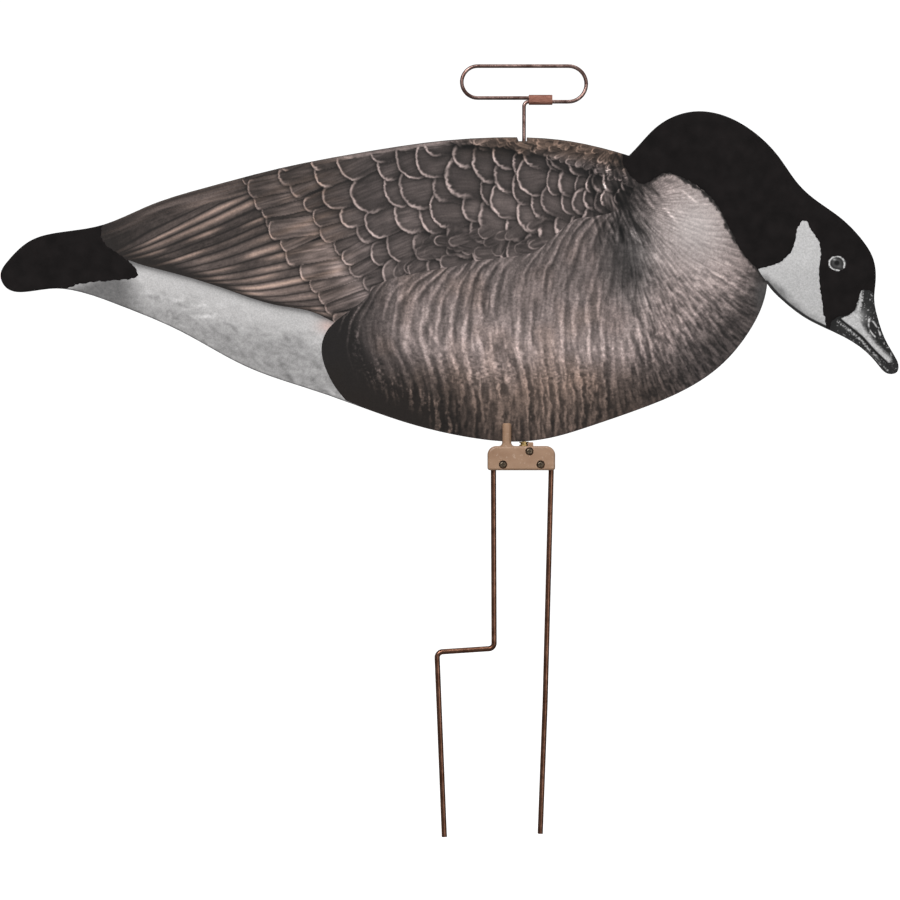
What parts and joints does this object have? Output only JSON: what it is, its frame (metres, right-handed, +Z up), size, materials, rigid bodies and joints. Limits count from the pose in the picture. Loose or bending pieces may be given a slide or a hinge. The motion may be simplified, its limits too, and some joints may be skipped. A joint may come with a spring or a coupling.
{
  "type": "goose silhouette decoy",
  "caption": "Flat feeding-goose decoy of printed fluted sheet, which swings and lifts on a wire shaft with a carrying loop, clamped to a pronged wire ground stake.",
  "frame": {"origin": "on the shaft's axis at the ground line, level with the stake's step", "axes": "+Z up along the shaft, +X the way the goose faces, +Y away from the housing's screwed face"},
  "size_m": [0.7626, 0.022, 0.6568],
  "materials": {
    "printed_sheet": "matte",
    "flocking": "matte",
    "shaft_wire": "satin",
    "ferrule": "satin",
    "bush": "satin",
    "housing": "matte",
    "screw": "satin",
    "stake_wire": "satin"
  },
  "bodies": {
    "stake": {"ground_stake": "stake_wire", "housing_front": "housing", "housing_back": "housing", "screw_upper": "screw", "screw_left": "screw", "screw_right": "screw", "shaft_and_handle": "shaft_wire", "handle_ferrule": "ferrule"},
    "bearing": {"pivot_bush": "bush"},
    "decoy": {"panel": "printed_sheet", "flock_head_front": "flocking", "flock_head_back": "flocking", "flock_tail_front": "flocking", "flock_tail_back": "flocking"}
  },
  "joints": [
    {"name": "swing", "type": "hinge", "parent": "stake", "child": "bearing", "pos_m": [0, 0, 0.18], "axis": [0, 0, 1], "range_deg": [-12, 12]},
    {"name": "lift", "type": "slide", "parent": "bearing", "child": "decoy", "axis": [0, 0, 1], "range_m": [0, 0.027]}
  ]
}
